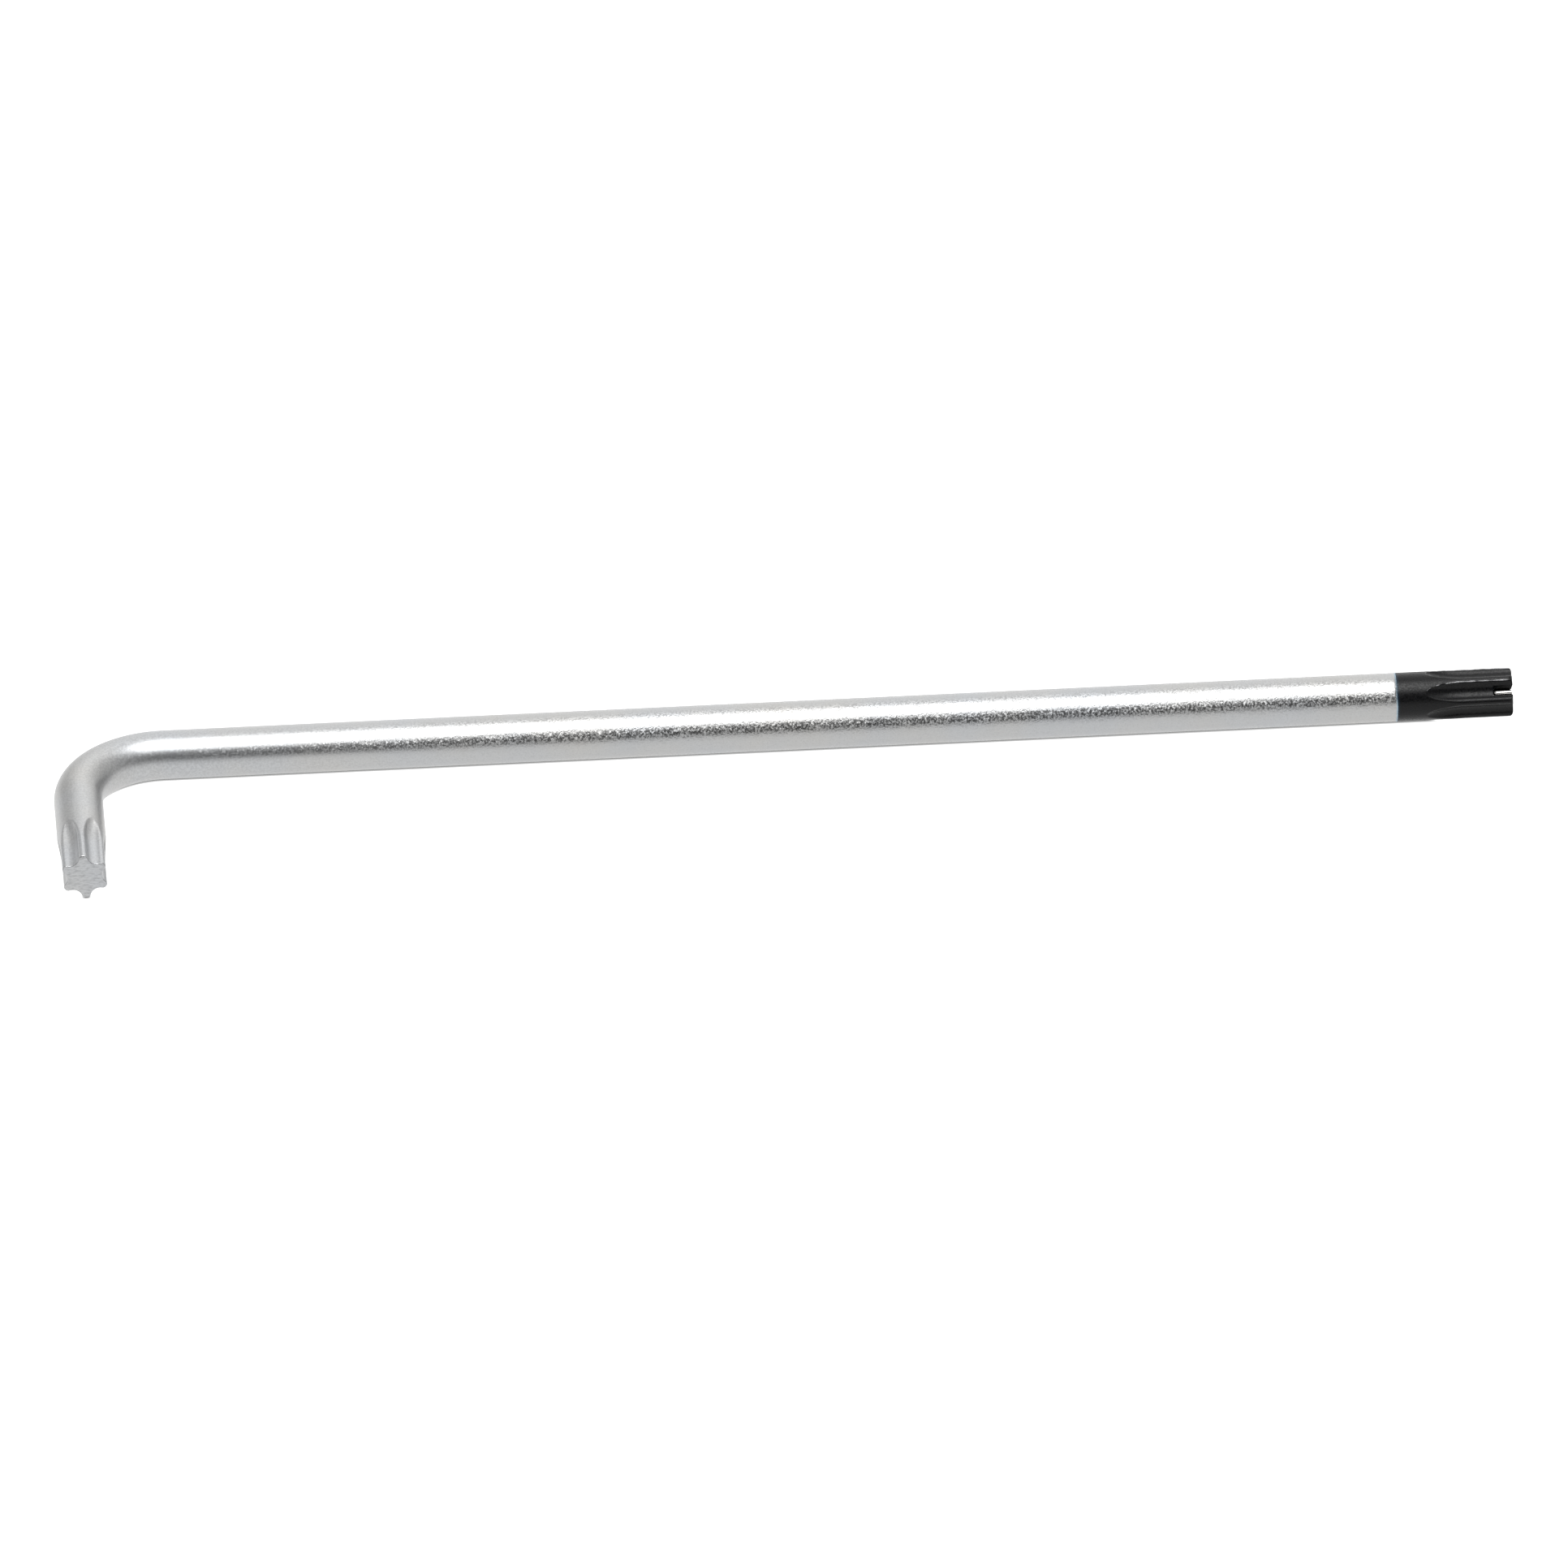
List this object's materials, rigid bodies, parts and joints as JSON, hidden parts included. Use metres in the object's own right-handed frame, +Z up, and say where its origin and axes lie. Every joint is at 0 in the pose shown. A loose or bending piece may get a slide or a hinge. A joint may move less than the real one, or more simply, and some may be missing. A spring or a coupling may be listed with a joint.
{
  "type": "star key",
  "caption": "L-shaped steel key for six-lobe screws, with a star on each end and a sprung wire clip in the long arm's blackened tip that holds a screw.",
  "frame": {"origin": "under the middle of the key's bounding box, on the surface that the key lies flat on", "axes": "+X along the long arm towards its blackened tip, the short arm points along -Y, +Z up and square to the plane of the L"},
  "size_m": [0.202, 0.0364, 0.0068],
  "materials": {
    "satin_chrome": "satin chrome plating with a fine grain over blasted steel",
    "black_steel": "burnished black oxide, satin, worn bright along the edges",
    "spring_steel": "bright drawn spring wire"
  },
  "bodies": {
    "key": {"key_bar": "satin_chrome", "black_tip": "black_steel", "clip_bridge": "spring_steel"},
    "front_leg": {"clip_leg_front": "spring_steel"},
    "rear_leg": {"clip_leg_rear": "spring_steel"}
  },
  "joints": [
    {"name": "front_leg_flex", "type": "hinge", "parent": "key", "child": "front_leg", "pos_m": [0.09903, 0.01287, 0.0044], "axis": [0, 0.4552, 0.8904], "range_deg": [0, 5], "stiffness_Nm_per_rad": 3},
    {"name": "rear_leg_flex", "type": "hinge", "parent": "key", "child": "rear_leg", "pos_m": [0.09903, 0.01688, 0.00235], "axis": [0, -0.4552, -0.8904], "range_deg": [0, 5], "stiffness_Nm_per_rad": 3}
  ]
}
